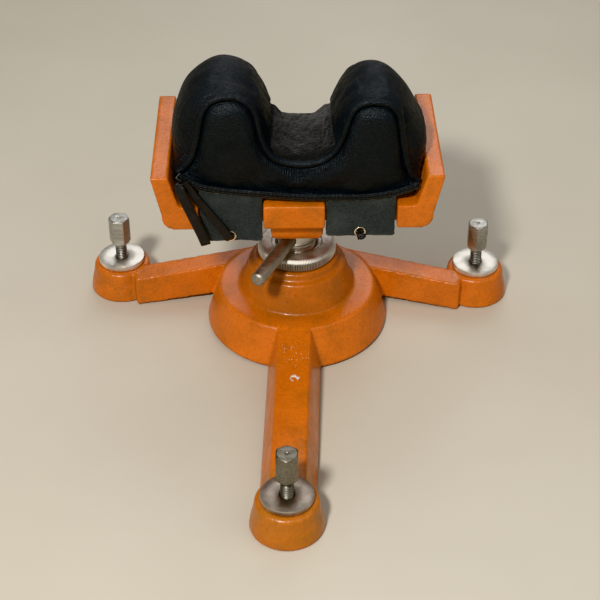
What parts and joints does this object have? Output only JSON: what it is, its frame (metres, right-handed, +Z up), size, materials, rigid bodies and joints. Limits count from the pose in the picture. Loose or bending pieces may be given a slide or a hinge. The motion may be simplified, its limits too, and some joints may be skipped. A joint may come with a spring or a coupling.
{
  "type": "benchrest front shooting rest",
  "caption": "Cast tripod rest with a screw-jack column, a swivelling U-shaped yoke and a laced leather sandbag with two ears.",
  "frame": {"origin": "centre of the footprint on the bench, at the height of the foot pads' undersides", "axes": "+Z up; +X towards the right-hand rear foot, seen from the long front leg; -Y towards the front leg's foot"},
  "size_m": [0.292, 0.283, 0.199],
  "materials": {
    "orange_paint": "glossy paint over a slightly pitted sand casting",
    "turned_steel": "plated, with turning marks",
    "dark_steel": "bare drawn bar, a little tarnished",
    "turned_aluminium": "faced and knurled",
    "brass_eyelet": "polished",
    "black_leather": "smooth grain, semi-gloss",
    "grey_suede": "suede side",
    "black_lace": "flat thong, dull"
  },
  "bodies": {
    "base": {"base_casting": "orange_paint"},
    "lift": {"thrust_washer": "turned_steel"},
    "column": {"jack_column": "turned_steel", "turning_bar": "dark_steel", "pivot_washer": "turned_steel", "pivot_screw": "dark_steel"},
    "yoke": {"yoke_casting": "orange_paint", "sandbag": "black_leather", "flap_front_left": "grey_suede", "flap_front_right": "grey_suede", "flap_rear_left": "grey_suede", "flap_rear_right": "grey_suede", "eyelet_front_left": "brass_eyelet", "eyelet_front_right": "brass_eyelet", "eyelet_rear_left": "brass_eyelet", "eyelet_rear_right": "brass_eyelet", "lace_left": "black_lace", "lace_right": "black_lace"},
    "ring": {"lock_ring": "turned_aluminium"},
    "screw_front": {"levelling_screw_front": "turned_steel"},
    "screw_right": {"levelling_screw_right": "turned_steel"},
    "screw_left": {"levelling_screw_left": "turned_steel"},
    "disc_front": {"lock_disc_front": "turned_aluminium"},
    "disc_right": {"lock_disc_right": "turned_aluminium"},
    "disc_left": {"lock_disc_left": "turned_aluminium"}
  },
  "joints": [
    {"name": "column_lift", "type": "slide", "parent": "base", "child": "lift", "axis": [0, 0, 1], "range_m": [0, 0.0365]},
    {"name": "column_turn", "type": "hinge", "parent": "lift", "child": "column", "pos_m": [0, 0.0805, 0.0706], "axis": [0, 0, 1], "range_deg": [0, 6210]},
    {"name": "yoke_swivel", "type": "hinge", "parent": "lift", "child": "yoke", "pos_m": [0, 0.0805, 0.1], "axis": [0, 0, 1], "continuous": true},
    {"name": "lock_ring_turn", "type": "hinge", "parent": "base", "child": "ring", "pos_m": [0, 0.0805, 0.058], "axis": [0, 0, 1], "range_deg": [0, 180]},
    {"name": "front_screw_travel", "type": "slide", "parent": "base", "child": "screw_front", "axis": [0, 0, 1], "range_m": [-0.009, 0.01]},
    {"name": "right_screw_travel", "type": "slide", "parent": "base", "child": "screw_right", "axis": [0, 0, 1], "range_m": [-0.009, 0.01]},
    {"name": "left_screw_travel", "type": "slide", "parent": "base", "child": "screw_left", "axis": [0, 0, 1], "range_m": [-0.009, 0.01]},
    {"name": "front_disc_turn", "type": "hinge", "parent": "base", "child": "disc_front", "pos_m": [0, -0.119, 0.023], "axis": [0, 0, 1], "range_deg": [0, 180]},
    {"name": "right_disc_turn", "type": "hinge", "parent": "base", "child": "disc_right", "pos_m": [0.12348, 0.11266, 0.023], "axis": [0, 0, 1], "range_deg": [0, 180]},
    {"name": "left_disc_turn", "type": "hinge", "parent": "base", "child": "disc_left", "pos_m": [-0.12348, 0.11266, 0.023], "axis": [0, 0, 1], "range_deg": [0, 180]}
  ],
  "couplings": [
    {"joint": "column_turn", "follows": "column_lift", "rad_per_m": 2968.4}
  ]
}
